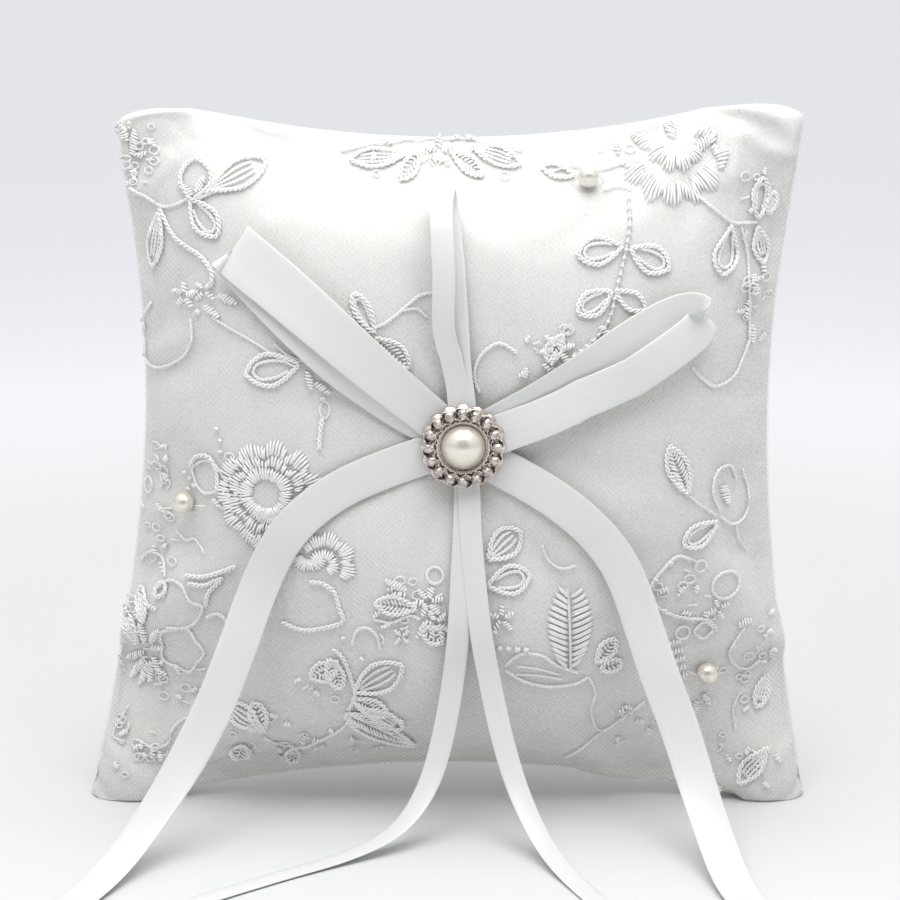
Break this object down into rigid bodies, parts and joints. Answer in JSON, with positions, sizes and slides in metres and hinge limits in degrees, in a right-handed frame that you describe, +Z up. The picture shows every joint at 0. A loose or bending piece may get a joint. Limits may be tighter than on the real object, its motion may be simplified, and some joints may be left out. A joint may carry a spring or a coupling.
{
  "type": "ring_bearer_pillow",
  "caption": "Square stuffed satin ring bearer pillow with an embroidered tulle face, ribbon bow with trailing tails for tying rings, a pearl and rhinestone brooch and sewn pearls",
  "frame": {"origin": "under the middle of the cushion and its brooch, on the surface that the pillow stands on", "axes": "+Z up, -Y is the side that the embroidered face looks towards, +X to the viewer's right"},
  "size_m": [0.2187, 0.1632, 0.2],
  "materials": {
    "white_satin": "smooth white satin",
    "embroidered_tulle": "fine net with corded white embroidery",
    "polyester_fibre": "loose white stuffing",
    "satin_ribbon": "double-faced satin ribbon",
    "sewing_thread": "twisted thread",
    "ivory_pearl": "pearlised coating",
    "rose_silver_metal": "polished rosy plating",
    "smoky_rhinestone": "foil-backed facets"
  },
  "bodies": {
    "cushion": {"lace_overlay": "embroidered_tulle", "front_satin_panel": "white_satin", "back_satin_panel": "white_satin", "fibre_fill": "polyester_fibre", "closing_seam_thread": "sewing_thread", "centre_tack_thread": "sewing_thread", "brooch_setting": "rose_silver_metal", "brooch_centre_pearl": "ivory_pearl", "wide_bow_left_loop": "satin_ribbon", "wide_bow_right_loop": "satin_ribbon", "ring_ribbon_loop": "satin_ribbon", "rhinestone_01": "smoky_rhinestone", "rhinestone_02": "smoky_rhinestone", "rhinestone_03": "smoky_rhinestone", "rhinestone_04": "smoky_rhinestone", "rhinestone_05": "smoky_rhinestone", "rhinestone_06": "smoky_rhinestone", "rhinestone_07": "smoky_rhinestone", "rhinestone_08": "smoky_rhinestone", "rhinestone_09": "smoky_rhinestone", "rhinestone_10": "smoky_rhinestone", "rhinestone_11": "smoky_rhinestone", "rhinestone_12": "smoky_rhinestone", "rhinestone_13": "smoky_rhinestone", "rhinestone_14": "smoky_rhinestone", "rhinestone_15": "smoky_rhinestone", "rhinestone_16": "smoky_rhinestone", "sewn_pearl_upper_right": "ivory_pearl", "sewn_pearl_left": "ivory_pearl", "sewn_pearl_lower_right": "ivory_pearl", "pearl_thread_upper_right": "sewing_thread", "pearl_thread_left": "sewing_thread", "pearl_thread_lower_right": "sewing_thread"},
    "left_tail": {"wide_left_tail": "satin_ribbon"},
    "right_tail": {"wide_right_tail": "satin_ribbon"},
    "ring_tails": {"ring_ribbon_left_tail": "satin_ribbon", "ring_ribbon_right_tail": "satin_ribbon"}
  },
  "joints": [
    {"name": "left_wide_tail_lift", "type": "hinge", "parent": "cushion", "child": "left_tail", "pos_m": [-0.0086, -0.0275, 0.1086], "axis": [-1, 0, 0], "range_deg": [0, 50]},
    {"name": "right_wide_tail_lift", "type": "hinge", "parent": "cushion", "child": "right_tail", "pos_m": [0.0162, -0.02738, 0.1052], "axis": [-1, 0, 0], "range_deg": [0, 50]},
    {"name": "ring_ribbon_tails_lift", "type": "hinge", "parent": "cushion", "child": "ring_tails", "pos_m": [0.0045, -0.02789, 0.0948], "axis": [-1, 0, 0], "range_deg": [0, 50]}
  ]
}
